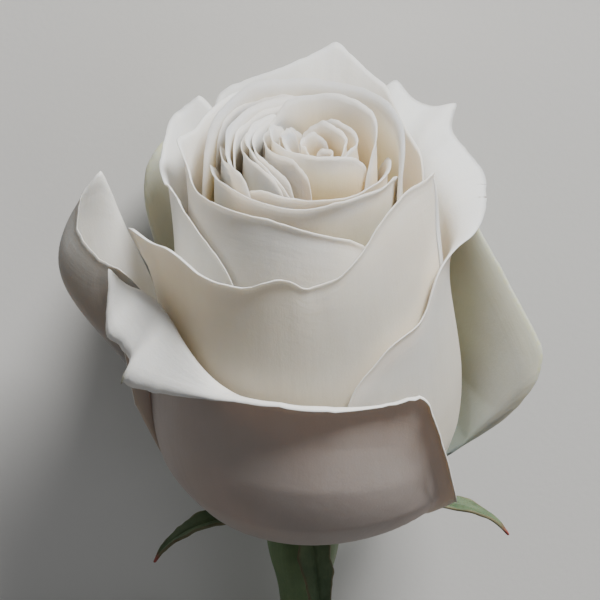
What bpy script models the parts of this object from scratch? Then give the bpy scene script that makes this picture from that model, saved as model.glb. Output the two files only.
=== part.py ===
"""A half-open white rose, cut with a length of stem and one leaf, laid on its back.

Everything is modelled in millimetres in the flower's own frame: z runs up the bloom, x to its
right and y to its back, with the top of the hip at the origin. The last step turns the whole
flower down onto the surface and scales it to metres.
"""

import math

import bpy
import numpy as np
from mathutils import Matrix, Vector

# Driving dimensions, mm.
PETAL_WALL = 0.45
HEAD_HEIGHT = 78.0
CONE_HEIGHT = 16.0  # the petals are set on a cone on top of the hip
CONE_TOP, CONE_FOOT = 1.2, 5.8
HEART_SHIFT = 3.5  # the heart stands a little off the middle
BELLY_SHIFT = 1.6
HIP_RADIUS = 6.3
STEM_RADIUS = 4.1
STEM_LENGTH = 128.0
SEPAL_LENGTH = 34.0

# The outermost layer's radius at heights above its foot.
HEIGHTS = (0, 2.5, 6, 12, 22, 38, 54, 66, 78)
BODY = (5.8, 15.5, 21.5, 25.3, 26.8, 26.6, 25.4, 24.3, 22.0)


def natural_weights(count, t):
    """Weights of a natural cubic through evenly spaced values, at each t from 0 to 1."""
    t = np.clip(np.asarray(t, float), 0, 1).ravel() * (count - 1)
    slopes = np.eye(count) * 4
    sides = np.zeros((count, count))
    slopes[0, 0] = slopes[-1, -1] = 1
    for i in range(1, count - 1):
        slopes[i, i - 1] = slopes[i, i + 1] = 1
        sides[i, i - 1 : i + 2] = (6, -12, 6)
    bends = np.linalg.solve(slopes, sides)
    k = np.minimum(t.astype(int), count - 2)
    f = (t - k)[:, None]
    flat = np.eye(count)
    return (
        (1 - f) * flat[k]
        + f * flat[k + 1]
        + ((1 - f) ** 3 - (1 - f)) / 6 * bends[k]
        + (f**3 - f) / 6 * bends[k + 1]
    )


def foot(layer):
    """Radius and height at which a layer leaves the cone."""
    return CONE_TOP + (CONE_FOOT - CONE_TOP) * layer, CONE_HEIGHT * (1 - layer)


def layer_radius(layer, z):
    """Radius of a nested layer, 0 the core and 1 the outside, at height z."""
    low = foot(layer)[1]
    h = (z - low) / (1 - low / HEAD_HEIGHT)
    spot = np.interp(h, HEIGHTS, np.linspace(0, 1, len(HEIGHTS)))
    radius = natural_weights(len(HEIGHTS), spot) @ np.array(BODY)
    return radius.reshape(np.shape(z)) * layer + CONE_TOP * (1 - layer)


def layer_centre(layer, z, sag=6.0):
    """How far right of the stem's line a layer is centred at height z."""
    heart = HEART_SHIFT * np.clip((0.62 - layer) / 0.36, 0, 1) * np.clip(z / 60, 0, 1) ** 1.3
    belly = BELLY_SHIFT * np.clip((z - sag) / 12, 0, 1) * np.clip((58 - z) / 30, 0, 1)
    return heart + belly * layer**3


def listed(petal, key, t, plain):
    """A petal's value along its rim, spread evenly from one foot to the other."""
    values = petal.get(key, plain)
    return np.interp(t, np.linspace(0, 1, len(values)), values)


def petal_grid(petal, across, along):
    """Points of a petal as ribs from its claw to its margin: (along, across, 3)."""
    layer, axis = petal["layer"], petal["turn"]
    rim = np.array(petal["rim"], float)
    rim[:, 0] = axis + (rim[:, 0] - axis + 180) % 360 - 180
    t = np.linspace(0, 1, across)
    turn, reach, top = (natural_weights(len(rim), t) @ rim).T
    hug, arch = listed(petal, "hug", t, (0, 0)), listed(petal, "arch", t, (0, 0))
    v = np.linspace(0, 1, along)[:, None] ** petal.get("pace", 1.0)
    start = foot(layer)[1]
    z = start + (top - start) * v + arch * v**4.25 * (1 - v) ** 1.2 / 0.0565
    spread = petal.get("claw", 0.3) + (1 - petal.get("claw", 0.3)) * np.clip(v / 0.45, 0, 1) ** 0.8
    angle = np.radians(axis + (turn - axis) * spread)
    closing = np.clip((v - 0.35) / 0.4, 0, 1)
    radius = layer_radius(layer, z) - hug * closing**2 * (3 - 2 * closing)
    sag = petal.get("sag", 6.0)
    middle = layer_centre(layer, z, sag)
    end = layer_radius(layer, top) - hug, layer_centre(layer, top, sag)
    lean_x = (reach - end[0]) * np.cos(np.radians(turn)) - end[1] * (not petal.get("nested"))
    lean_y = (reach - end[0]) * np.sin(np.radians(turn))
    cup = petal.get("cup", 0.0) * np.sin(np.pi * t) ** 3
    cup = cup * np.sin(np.pi * v ** petal.get("rise", 1.2))
    lean = v ** listed(petal, "flare", t, (8, 8))
    x = middle + (radius + cup) * np.cos(angle) + lean_x * lean
    y = (radius + cup) * np.sin(angle) + lean_y * lean
    return np.stack([x, y, z], -1)


# Each petal: its layer, the direction its claw faces (degrees, 0 right, 90 back), how late it
# flares along the rim, and the rim from one foot to the other as (direction, reach, height).
PETALS = {
    "petal_front": dict(
        layer=1.05, turn=-105, flare=(2.4, 4, 6, 9, 10, 10, 9, 8, 8, 7, 6), claw=0.34, sag=-6,
        hug=(0, 0, 0, 0.5, 1.2, 1.6, 1.6, 1.6, 1.6, 1.4, 1, 0.5, 0, 0, 0, 0, 0, 0, 0),
        arch=(0, 0, 3, 9, 12, 13, 15, 16, 14.5, 9, 4, 2.5, 2, 2, 2, 1, 0, 0, 0),
        rim=(
            (-172, 29.6, 22), (-172.5, 32, 40), (-172, 33.4, 50.4), (-166, 33.8, 48.5),
            (-160, 35.9, 45.4), (-155, 36.6, 43.9), (-150, 35.2, 40.3), (-146, 38, 38.8),
            (-140, 34.4, 36.8), (-130, 31.2, 37.6), (-118, 29.9, 39.6), (-105, 29.4, 40.4),
            (-92, 29.4, 40.4), (-79, 29.3, 39.7), (-65, 29.5, 38.8), (-52, 31.2, 38.6),
            (-46, 32, 33), (-40, 32.2, 23), (-33, 32, 11),
        ),
    ),
    "petal_left": dict(
        layer=0.96, turn=168, flare=(7, 3.4, 2.6, 2.4, 2.8), cup=10.3, rise=2.5, claw=0.3,
        rim=(
            (-168, 25.4, 32), (-169, 26.2, 42.3), (-175, 29.5, 47.2), (180, 32.4, 47.8),
            (178, 34.9, 48.6), (175, 37.8, 51.2), (172, 38.6, 54), (170, 38.3, 57.6),
            (169, 36.9, 60.2), (167, 35, 61.2), (162, 33.8, 53.8), (157, 32.4, 45), (152, 29, 33),
        ),
    ),
    "petal_right": dict(
        layer=0.975, turn=5, flare=(8, 8, 9, 10, 9, 7, 5), claw=0.3,
        hug=(0.5, 0.5, 0.5, 0.6, 1.1, 1.6, 1.6, 1.5, 1.2, 1, 0.8),
        arch=(0, 0, 0, 2, 4, 6, 6, 5, 4, 3, 0),
        rim=(
            (-78, 26.4, 24), (-73, 26.3, 38), (-64, 26.2, 43.5), (-54, 26.2, 47), (-43, 26, 48),
            (-35, 25.7, 50.7), (-28, 25.6, 54.4), (-18, 26.5, 56.4), (-8, 28.6, 56.8),
            (2, 30.6, 57.2), (10, 32, 58.8), (18, 33.2, 59.6), (26, 33.7, 60.5), (34, 33, 62.2),
            (41, 34.6, 62.6), (46, 37.6, 64.2), (52, 36.3, 63.2), (58, 35.2, 64.6), (63, 35.5, 66),
            (69, 34, 62), (77, 31, 46),
        ),
    ),
    "petal_middle": dict(
        layer=0.915, turn=-88, flare=(6, 7, 8, 7, 5), claw=0.34,
        rim=(
            (-6, 24.6, 30), (-12, 24.2, 44), (-14, 23.4, 56), (-10, 22.2, 65.5), (-9, 21.8, 69),
            (-20, 20.8, 69.8), (-34, 20, 70), (-47, 20, 68), (-58, 20.8, 65.5), (-68, 22, 62.6),
            (-77, 22.6, 60.2), (-85, 22.8, 59.4), (-91, 23.2, 60.1), (-97, 23.5, 61.6),
            (-104, 24, 61.2), (-112, 24.3, 59.8), (-121, 24.6, 59.1), (-130, 25.4, 59.5),
            (-138, 26, 61.2), (-146, 27, 62.4), (-156, 28, 60.8), (-167, 29.5, 60.2),
            (-174, 27.5, 53), (178, 25.2, 44), (172, 24.6, 32),
        ),
    ),
    "petal_rear": dict(
        layer=0.875, turn=75, flare=(8, 7, 6, 7, 8), claw=0.34,
        rim=(
            (9, 21, 44), (13, 20.6, 57), (20, 21.3, 64), (31, 22.3, 65.5), (46, 24, 67.5),
            (60, 28, 69.5), (71, 30, 71.5), (79, 31, 73), (86, 30, 72.8), (98, 28, 71.2),
            (112, 29, 69), (120, 29.4, 67.3), (126, 26.5, 61), (129, 23.5, 45),
        ),
    ),
    "petal_rear_left": dict(
        layer=0.833, turn=165, flare=(6, 5, 5, 6, 8), claw=0.34,
        rim=(
            (117, 21, 48), (123, 22.8, 61), (130, 26.6, 68.3), (140, 28.4, 67.5), (152, 26.6, 65.5),
            (166, 24, 64), (180, 21.2, 63), (-166, 20.4, 63.8), (-150, 20.4, 63), (-134, 20.7, 60.5),
            (-121, 20.9, 54), (-113, 21, 42),
        ),
    ),
    "petal_fore": dict(
        layer=0.753, turn=-135, flare=(8, 8, 9, 8, 8), claw=0.34,
        rim=(
            (82, 19, 50), (94, 20.5, 68), (112, 22, 71.5), (134, 21, 71), (152, 20.5, 69.7),
            (164, 21.4, 69), (176, 19.3, 68), (-168, 18.5, 67.5), (-148, 18.2, 68), (-124, 18.2, 69),
            (-100, 18.2, 68.3), (-76, 17.8, 65.6), (-54, 17.3, 60.5), (-44, 17, 50),
        ),
    ),
    "guard_right": dict(
        layer=1.05, turn=28, flare=(4, 3, 2.4, 2.2, 2.2), claw=0.34,
        rim=(
            (74, 30, 30), (64, 35, 48), (46, 36.5, 52), (30, 33.4, 49.5), (18, 35, 43),
            (8, 38.4, 36), (1, 41.4, 29), (0, 40.4, 24), (0, 37.5, 19), (1, 33.5, 15),
            (3, 29.2, 12.6), (8, 26.4, 12),
        ),
    ),
    "guard_left": dict(
        layer=1.06, turn=108, flare=(4, 3, 3, 3, 4), claw=0.34,
        rim=(
            (80, 29, 30), (88, 31.5, 46), (104, 34, 56), (122, 36, 58.5), (134, 36.5, 56.5),
            (140.5, 36.2, 50), (142, 33, 38), (137, 29, 22),
        ),
    ),
    "guard_back": dict(
        layer=1.19, turn=82, flare=(3, 2.6, 2.4, 2.6, 3), claw=0.34,
        rim=(
            (46, 31, 22), (54, 36, 38), (64, 39.5, 50), (76, 40, 56), (92, 39.4, 58),
            (108, 40, 55), (120, 40, 45), (127, 36.5, 30), (124, 32, 18),
        ),
    ),
}


def ring_petal(layer, turn, half, top, lip, dip=0.0, droop=20.0):
    """A plain petal of the middle, its rim a broad level arc with drooping ends."""
    rim = []
    for u in (-1, -0.94, -0.8, -0.5, 0, 0.5, 0.8, 0.94, 1):
        fall = np.interp(abs(u), (0.5, 0.8, 0.94, 1), (0, 0.13, 0.4, 1))
        height = top - fall * droop - dip * u
        reach = float(layer_radius(layer, height)) + lip * (1 - 0.7 * abs(u) ** 3)
        rim.append((turn + half * u, reach, height))
    return dict(layer=layer, turn=turn, flare=(9, 8, 8, 8, 9), claw=0.34, rim=rim, nested=True)


# The middle of the bloom: layer, direction, half width (degrees), height, lip, dip, droop.
RINGS = {
    "ring_a": (0.65, 75, 98, 75.3, 0.8, 0, 20),
    "ring_b": (0.585, -98, 110, 70.2, 1.0, -0.5, 20),
    "ring_c": (0.525, 130, 92, 73.6, 0.6, 0, 20),
    "ring_d": (0.47, -65, 100, 70.2, 0.8, 0, 20),
    "ring_e": (0.415, 175, 84, 73.2, 0.5, 0, 20),
    "ring_f": (0.365, 60, 104, 75.4, 0.5, 0, 20),
    "heart_a": (0.306, -130, 108, 75.0, 0.3, 0, 16),
    "heart_b": (0.25, 15, 100, 73.2, -0.3, 0, 14),
    "heart_c": (0.184, 35, 96, 73.2, -0.6, 0, 14),
    "heart_d": (0.128, 160, 118, 73.0, -2.2, 0, 12),
}

# Sepals: direction, droop of the tip below the foot, length, how far its tip curls up, and how
# high it arches on the way.
SEPALS = {
    "sepal_right": (-7, 3, 33, 0.5, 4.6),
    "sepal_left": (-162, 8, 23.5, 2.5, 3.3),
    "sepal_front": (-78, 24, 17, -3, -1.2),
    "sepal_back_right": (46, 13, 26, 4, -1.2),
    "sepal_back_left": (140, 14, 27, 4, -1.2),
}

# Prickles: distance below the hip's top, and direction.
PRICKLES = {"prickle_a": (44, -40), "prickle_b": (63, 175), "prickle_c": (96, -75)}

# Leaflets: foot, direction, length, width. The petiole joins the stem at LEAF_NODE.
LEAF_NODE = -82.0
LEAFLETS = {
    "leaflet_tip": ((-32.5, 6.4, -64.0), (-0.88, 0.06, 0.47), 35, 23),
    "leaflet_up": ((-19.8, 3.7, -68.0), (-0.10, 0.09, 0.99), 28, 18),
    "leaflet_low": ((-21.3, 3.7, -71.1), (-0.88, 0.09, -0.46), 28, 18),
}


def stem_path(z):
    """Centre line of the stem below the hip, with a slight bow."""
    t = -z / STEM_LENGTH
    return np.stack([1.6 * np.sin(np.pi * t) * t, 2.2 * np.sin(np.pi * t), z], -1)


def stem_radius(z):
    return np.interp(-z, (0, 23, 60, STEM_LENGTH), (STEM_RADIUS + 0.3, STEM_RADIUS, 3.6, 3.7))


def tube_rings(path, radii, sides, last_slant=0.0):
    """Rings round a path, each across it; the last can be cut on a slant."""
    path = np.array(path, float)
    ahead = np.gradient(path, axis=0)
    ahead /= np.linalg.norm(ahead, axis=1)[:, None]
    aside = np.cross(ahead, (0, 1, 0))
    aside /= np.linalg.norm(aside, axis=1)[:, None]
    up = np.cross(aside, ahead)
    turns = np.linspace(0, 2 * np.pi, sides, endpoint=False)
    rings = path[:, None] + np.array(radii)[:, None, None] * (
        np.cos(turns)[:, None] * aside[:, None] + np.sin(turns)[:, None] * up[:, None]
    )
    rings[-1] += ahead[-1] * (np.sin(turns) * radii[-1] * last_slant)[:, None]
    return rings


def ribbon(path, aside, widths, fold, across):
    """A blade round a path: points (along, across, 3), its sides lifted by fold."""
    path, aside = np.array(path, float), np.array(aside, float)
    ahead = np.gradient(path, axis=0)
    ahead /= np.linalg.norm(ahead, axis=1)[:, None]
    side = aside - ahead * (ahead @ aside)[:, None]
    side /= np.linalg.norm(side, axis=1)[:, None]
    up = np.cross(side, ahead)
    u = np.linspace(-1, 1, across)
    half = np.array(widths)[:, None, None] / 2
    return path[:, None] + half * (u[:, None] * side[:, None] + fold * abs(u)[:, None] * up[:, None])


def sepal_grid(turn, droop, length, curl, arch, across, along):
    """A narrow pointed blade out from the hip and down."""
    v = np.linspace(0, 1, along)
    span = length * 0.93 * math.cos(math.radians(droop * 1.6)) / math.sin(1.35)
    out = HIP_RADIUS + 0.2 + span * np.sin(v * 1.35)
    z = -4.3 - droop * v**1.4 + curl * v**3 + arch * np.sin(np.pi * v)
    a = math.radians(turn)
    path = np.stack([out * math.cos(a), out * math.sin(a), z], -1)
    widths = np.interp(v, (0, 0.25, 0.6, 0.85, 1), (5.6, 5.4, 3.0, 1.5, 0.5))
    return ribbon(path, (-math.sin(a), math.cos(a), 0), widths, -0.25, across)


def leaflet_grid(foot_point, heading, length, width, across, along):
    """An oval pointed leaflet, folded a little along its midrib and arched down to its tip."""
    v = np.linspace(0, 1, along)
    heading = np.array(heading) / np.linalg.norm(heading)
    path = np.array(foot_point) + heading * (length * v)[:, None]
    path[:, 1] += 2.2 * v**2 - 1.8 * np.sin(np.pi * v)
    spots = (0, 0.08, 0.22, 0.42, 0.62, 0.82, 0.95, 1)
    shape = np.interp(v, spots, (0.08, 0.45, 0.86, 1, 0.88, 0.5, 0.16, 0.03))
    return ribbon(path, np.cross(heading, (0, 1, 0)), width * shape, 0.22, across)


# ---- build ----
ROSE = "rose"
COLOURS = {
    "white": (0.86, 0.84, 0.79),
    "cream": (0.86, 0.80, 0.68),
    "guard": (0.70, 0.74, 0.62),
    "sepal": (0.16, 0.25, 0.10),
    "hip": (0.22, 0.33, 0.15),
    "stem": (0.14, 0.24, 0.10),
    "prickle": (0.36, 0.20, 0.13),
    "leaf": (0.05, 0.13, 0.05),
}


def clear_scene():
    for item in list(bpy.data.objects):
        bpy.data.objects.remove(item)
    group = bpy.data.collections.new(ROSE)
    bpy.context.scene.collection.children.link(group)
    return group


def material(name, colour):
    made = bpy.data.materials.new(name)
    made.use_nodes = True
    shader = made.node_tree.nodes["Principled BSDF"]
    shader.inputs["Base Color"].default_value = (*COLOURS[colour], 1)
    shader.inputs["Roughness"].default_value = 0.55
    return made


def add_object(name, points, faces, colour, wall=0.0):
    """A named part from points in mm, as a sheet given a wall, or as a closed solid."""
    mesh = bpy.data.meshes.new(name)
    mesh.from_pydata(np.asarray(points).reshape(-1, 3).tolist(), [], faces)
    mesh.materials.append(material(f"{name}_{colour}", colour))
    item = bpy.data.objects.new(name, mesh)
    bpy.data.collections[ROSE].objects.link(item)
    if wall:
        solid = item.modifiers.new("wall", "SOLIDIFY")
        solid.thickness = wall * 0.001
        solid.offset = 0
        solid.use_even_offset = False
    return item


def grid_faces(rows, columns):
    return [
        (j * columns + i, j * columns + i + 1, (j + 1) * columns + i + 1, (j + 1) * columns + i)
        for j in range(rows - 1)
        for i in range(columns - 1)
    ]


def add_sheet(name, grid, colour, wall):
    rows, columns, _ = grid.shape
    return add_object(name, grid, grid_faces(rows, columns), colour, wall)


def add_tube(name, rings, colour):
    """A closed solid through rings of points, with a flat cap at each end."""
    count, sides, _ = rings.shape
    faces = []
    for j in range(count - 1):
        for i in range(sides):
            this, after = j * sides + i, j * sides + (i + 1) % sides
            faces.append((after, this, this + sides, after + sides))
    faces.append(tuple(range(sides)))
    faces.append(tuple(reversed(range((count - 1) * sides, count * sides))))
    return add_object(name, rings, faces, colour)


def add_petals():
    for name, petal in PETALS.items():
        colour = "guard" if name.startswith("guard") else "white"
        add_sheet(name, petal_grid(petal, 14, 9), colour, PETAL_WALL)
    for name, numbers in RINGS.items():
        colour = "white" if name.startswith("ring") else "cream"
        add_sheet(name, petal_grid(ring_petal(*numbers), 12, 7), colour, PETAL_WALL)


def add_stem():
    profile = (
        (0.5, 13.6), (1.8, 11.5), (3.2, 6.5), (4.5, 1.5), (5.0, -1.2), (5.4, -3.2),
        (HIP_RADIUS, -5.6), (6.6, -9), (6.6, -12), (6.1, -15.5), (5.3, -19), (4.65, -22.5),
        (STEM_RADIUS + 0.2, -25.5),
    )
    path = [(*stem_path(min(z, 0))[:2], z) for _, z in profile]
    add_tube("hip", tube_rings(path, [r for r, _ in profile], 16), "hip")
    heights = np.linspace(-25.9, -STEM_LENGTH, 10)
    rings = tube_rings(stem_path(heights), stem_radius(heights), 12, last_slant=0.9)
    add_tube("stem", rings, "stem")


def add_prickles():
    for name, (below, turn) in PRICKLES.items():
        centre, radius = stem_path(np.array(float(-below))), float(stem_radius(-below))
        out = np.array((math.cos(math.radians(turn)), math.sin(math.radians(turn)), 0.0))
        v = np.linspace(0, 1, 5)[:, None]
        path = centre + out * (radius + 0.5 + 5.2 * v) + np.array((0, 0, -2.6)) * v**2
        rings = tube_rings(path, (1.5, 1.0, 0.62, 0.34, 0.12), 8)
        rings[:, :, 2] += (rings[:, :, 2] - path[:, None, 2]) * 0.7 * (1 - v)
        add_tube(name, rings, "prickle")


def add_leaves():
    for name, numbers in SEPALS.items():
        add_sheet(name, sepal_grid(*numbers, 5, 9), "sepal", 0.6)
    for name, numbers in LEAFLETS.items():
        add_sheet(name, leaflet_grid(*numbers, 7, 11), "leaf", 0.5)
    node = stem_path(np.array(LEAF_NODE))
    tip = np.array(LEAFLETS["leaflet_tip"][0])
    v = np.linspace(0, 1, 8)[:, None]
    out = np.array((-1.0, 0.15, 0.0)) / math.hypot(1, 0.15)
    start = node + out * (float(stem_radius(LEAF_NODE)) + 1.15)
    end = tip + (start - tip) / np.linalg.norm(start - tip) * 0.5
    path = start + (end - start) * v + np.array((0, -1.2, 2.0)) * np.sin(np.pi * v)
    add_tube("petiole", tube_rings(path, np.interp(v[:, 0], (0, 0.2, 1), (1.5, 1.05, 0.8)), 8), "stem")


def all_points():
    graph = bpy.context.evaluated_depsgraph_get()
    found = []
    for item in bpy.data.collections[ROSE].objects:
        mesh = item.evaluated_get(graph).to_mesh()
        flat = np.empty(len(mesh.vertices) * 3, np.float32)
        mesh.vertices.foreach_get("co", flat)
        found.append(flat.reshape(-1, 3))
    return np.concatenate(found).astype(float)


def turned(points, spin):
    return points @ np.array(spin.to_3x3()).T


def contacts(points):
    """Lowest points of the head and of the stem's end."""
    head = points[points[:, 1] > 20]
    stem_end = points[points[:, 1] < points[:, 1].min() + 8]
    return head[head[:, 2].argmin()], stem_end[stem_end[:, 2].argmin()]


def level(points):
    """Turn about X that brings the head and the stem's end onto one level."""
    head, end = contacts(points)
    return Matrix.Rotation(-math.atan2(head[2] - end[2], head[1] - end[1]), 4, "X")


def roll_over(points):
    """Turn about the line between those two points, to its heavier side, until a third touches."""
    head, end = contacts(points)
    line = Vector(head - end).normalized()
    side = np.cross(np.array(line), (0, 0, 1))
    reach, height = (points - head) @ side, points[:, 2] - head[2]
    heavy = np.sign(reach.mean())
    there = reach * heavy > 4
    angle = np.arctan2(height[there], reach[there] * heavy).min()
    return Matrix.Rotation(angle * heavy, 4, line)


def lay_down():
    """The turn onto the flower's back, where it rests on its petals and the end of its stem."""
    points = all_points()
    spin = Matrix.Rotation(math.radians(-90), 4, "X")
    for _ in range(4):
        spin = level(turned(points, spin)) @ spin
    spin = roll_over(turned(points, spin)) @ spin
    for _ in range(3):
        spin = level(turned(points, spin)) @ spin
    return spin


def place(group, spin):
    points = turned(all_points(), spin)
    low, high = points.min(axis=0), points.max(axis=0)
    shift = Matrix.Translation((-(low[0] + high[0]) / 2, -(low[1] + high[1]) / 2, -low[2]))
    whole = Matrix.Scale(0.001, 4) @ shift @ spin
    for item in group.objects:
        item.data.transform(whole)
        item.data.update()


def main():
    group = clear_scene()
    add_petals()
    add_stem()
    add_prickles()
    add_leaves()
    for item in group.objects:
        for wall in item.modifiers:
            wall.thickness *= 1000
    place(group, lay_down())
    for item in group.objects:
        for wall in item.modifiers:
            wall.thickness *= 0.001


main()
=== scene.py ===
"""Looks of the cut white rose: fine petals, sepals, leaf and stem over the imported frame.

Shapes are made in millimetres in the flower's own frame (z up the bloom, x to its right, y to its
back, the top of the hip at the origin). PLACE then lays them down onto the surface, in metres.
"""

import math

import bpy
import numpy as np
from mathutils import Euler, Matrix, Vector

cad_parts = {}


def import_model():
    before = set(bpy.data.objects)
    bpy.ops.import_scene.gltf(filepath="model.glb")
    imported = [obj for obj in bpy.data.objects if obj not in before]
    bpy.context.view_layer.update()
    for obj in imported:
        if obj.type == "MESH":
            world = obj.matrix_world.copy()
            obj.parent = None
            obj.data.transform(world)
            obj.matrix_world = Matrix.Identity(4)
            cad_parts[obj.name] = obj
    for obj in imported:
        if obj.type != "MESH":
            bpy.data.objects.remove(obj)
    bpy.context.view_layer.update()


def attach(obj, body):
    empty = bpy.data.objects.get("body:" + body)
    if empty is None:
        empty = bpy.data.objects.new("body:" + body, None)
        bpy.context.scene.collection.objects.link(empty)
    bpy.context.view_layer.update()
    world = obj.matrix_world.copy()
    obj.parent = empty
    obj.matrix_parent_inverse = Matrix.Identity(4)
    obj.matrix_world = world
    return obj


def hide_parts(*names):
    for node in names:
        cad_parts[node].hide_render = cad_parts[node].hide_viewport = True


# How the flower lies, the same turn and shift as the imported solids.
LIE_DEG = (-79.1023, -1.112, 0.0003)
LIE_MM = (10.9390, 25.4925, 28.3158)
TURN = Euler([math.radians(a) for a in LIE_DEG], "XYZ").to_matrix()
PLACE = Matrix.Diagonal((0.001, 0.001, 0.001, 1)) @ (Matrix.Translation(LIE_MM) @ TURN.to_4x4())

# The camera: its angle below level, its aim in the flower's frame, its distance and lens, mm.
CAMERA_TILT_DEG = 34
CAMERA_AIM = (-0.5, 0, 41)
CAMERA_DISTANCE = 560
SENSOR, LENS = 36.0, 194.88

# How finely a blade is made, across and along, and its wall in mm.
OUTER_BLADE = 110, 84, 0.42
RING_BLADE = 84, 60, 0.4
FOLD_BLADE = 56, 50, 0.3
SEPAL_BLADE = 33, 110, 0.55
LEAFLET_BLADE = 61, 172, 0.36
STIPULE_BLADE = 13, 60, 0.3

# The first seed of each kind. LOOKS holds the outer petals' seeds.
RING_SEED, FOLD_SEED, SEPAL_SEED, LEAF_SEED, STEM_SEED = 300, 500, 400, 500, 71

# Driving dimensions, mm.
HEAD_HEIGHT = 78.0
CONE_HEIGHT = 16.0
CONE_TOP, CONE_FOOT = 1.2, 5.8
HEART_SHIFT = 3.5
BELLY_SHIFT = 1.6
HIP_RADIUS = 6.3
STEM_RADIUS = 4.1
STEM_LENGTH = 128.0
LEAF_NODE = -82.0

# The outermost layer's radius at heights above its foot.
HEIGHTS = (0, 2.5, 6, 12, 22, 38, 54, 66, 78)
BODY = (5.8, 15.5, 21.5, 25.3, 26.8, 26.6, 25.4, 24.3, 22.0)


def unit(vectors):
    """The same directions, each 1 long."""
    return vectors / np.maximum(np.linalg.norm(vectors, axis=-1, keepdims=True), 1e-9)


def held(values):
    """Values held between 0 and 1."""
    return np.clip(values, 0, 1)


def evenly(count):
    """Places from 0 to 1."""
    return np.linspace(0, 1, count)


def natural_weights(count, t):
    """Weights of a natural cubic through evenly spaced values, at each t from 0 to 1."""
    t = held(np.asarray(t, float)).ravel() * (count - 1)
    slopes = np.eye(count) * 4
    sides = np.zeros((count, count))
    slopes[0, 0] = slopes[-1, -1] = 1
    for i in range(1, count - 1):
        slopes[i, i - 1] = slopes[i, i + 1] = 1
        sides[i, i - 1 : i + 2] = (6, -12, 6)
    bends = np.linalg.solve(slopes, sides)
    k = np.minimum(t.astype(int), count - 2)
    f = (t - k)[:, None]
    flat = np.eye(count)
    return (
        (1 - f) * flat[k]
        + f * flat[k + 1]
        + ((1 - f) ** 3 - (1 - f)) / 6 * bends[k]
        + (f**3 - f) / 6 * bends[k + 1]
    )


def foot(layer):
    """Radius and height at which a layer leaves the cone."""
    return CONE_TOP + (CONE_FOOT - CONE_TOP) * layer, CONE_HEIGHT * (1 - layer)


def layer_radius(layer, z):
    """Radius of a nested layer, 0 the core and 1 the outside, at height z."""
    low = foot(layer)[1]
    h = (z - low) / (1 - low / HEAD_HEIGHT)
    spot = np.interp(h, HEIGHTS, evenly(len(HEIGHTS)))
    radius = natural_weights(len(HEIGHTS), spot) @ np.array(BODY)
    return radius.reshape(np.shape(z)) * layer + CONE_TOP * (1 - layer)


def layer_centre(layer, z, sag):
    """How far right of the stem's line a layer is centred at height z."""
    heart = HEART_SHIFT * held((0.62 - layer) / 0.36) * held(z / 60) ** 1.3
    belly = BELLY_SHIFT * held((z - sag) / 12) * held((58 - z) / 30)
    return heart + belly * layer**3


def along_rim(values, t):
    """Values spread evenly along a rim, from one foot to the other, read at t."""
    return np.interp(t, evenly(len(values)), values)


def petal_grid(petal, across, along):
    """Points of a petal as ribs from its claw to its margin: (along, across, 3)."""
    layer, axis = petal["layer"], petal["turn"]
    rim = np.array(petal["rim"], float)
    rim[:, 0] = axis + (rim[:, 0] - axis + 180) % 360 - 180
    t = evenly(across)
    turn, reach, top = (natural_weights(len(rim), t) @ rim).T
    hug, arch = (along_rim(petal.get(key, (0, 0)), t) for key in ("hug", "arch"))
    v = evenly(along)[:, None]
    start = foot(layer)[1]
    # the arch is highest near the rim, where its curve reaches 0.0565
    z = start + (top - start) * v + arch * v**4.25 * (1 - v) ** 1.2 / 0.0565
    spread = petal["claw"] + (1 - petal["claw"]) * held(v / 0.45) ** 0.8
    angle = np.radians(axis + (turn - axis) * spread)
    closing = held((v - 0.35) / 0.4)
    radius = layer_radius(layer, z) - hug * closing**2 * (3 - 2 * closing)
    sag = petal.get("sag", 6.0)
    middle = layer_centre(layer, z, sag)
    end = layer_radius(layer, top) - hug, layer_centre(layer, top, sag)
    lean_x = (reach - end[0]) * np.cos(np.radians(turn)) - end[1] * (not petal.get("nested"))
    lean_y = (reach - end[0]) * np.sin(np.radians(turn))
    cup = petal.get("cup", 0.0) * np.sin(np.pi * t) ** 3
    cup = cup * np.sin(np.pi * v ** petal.get("rise", 1.2))
    lean = v ** along_rim(petal["flare"], t)
    x = middle + (radius + cup) * np.cos(angle) + lean_x * lean
    y = (radius + cup) * np.sin(angle) + lean_y * lean
    return np.stack([x, y, z], -1)


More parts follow.
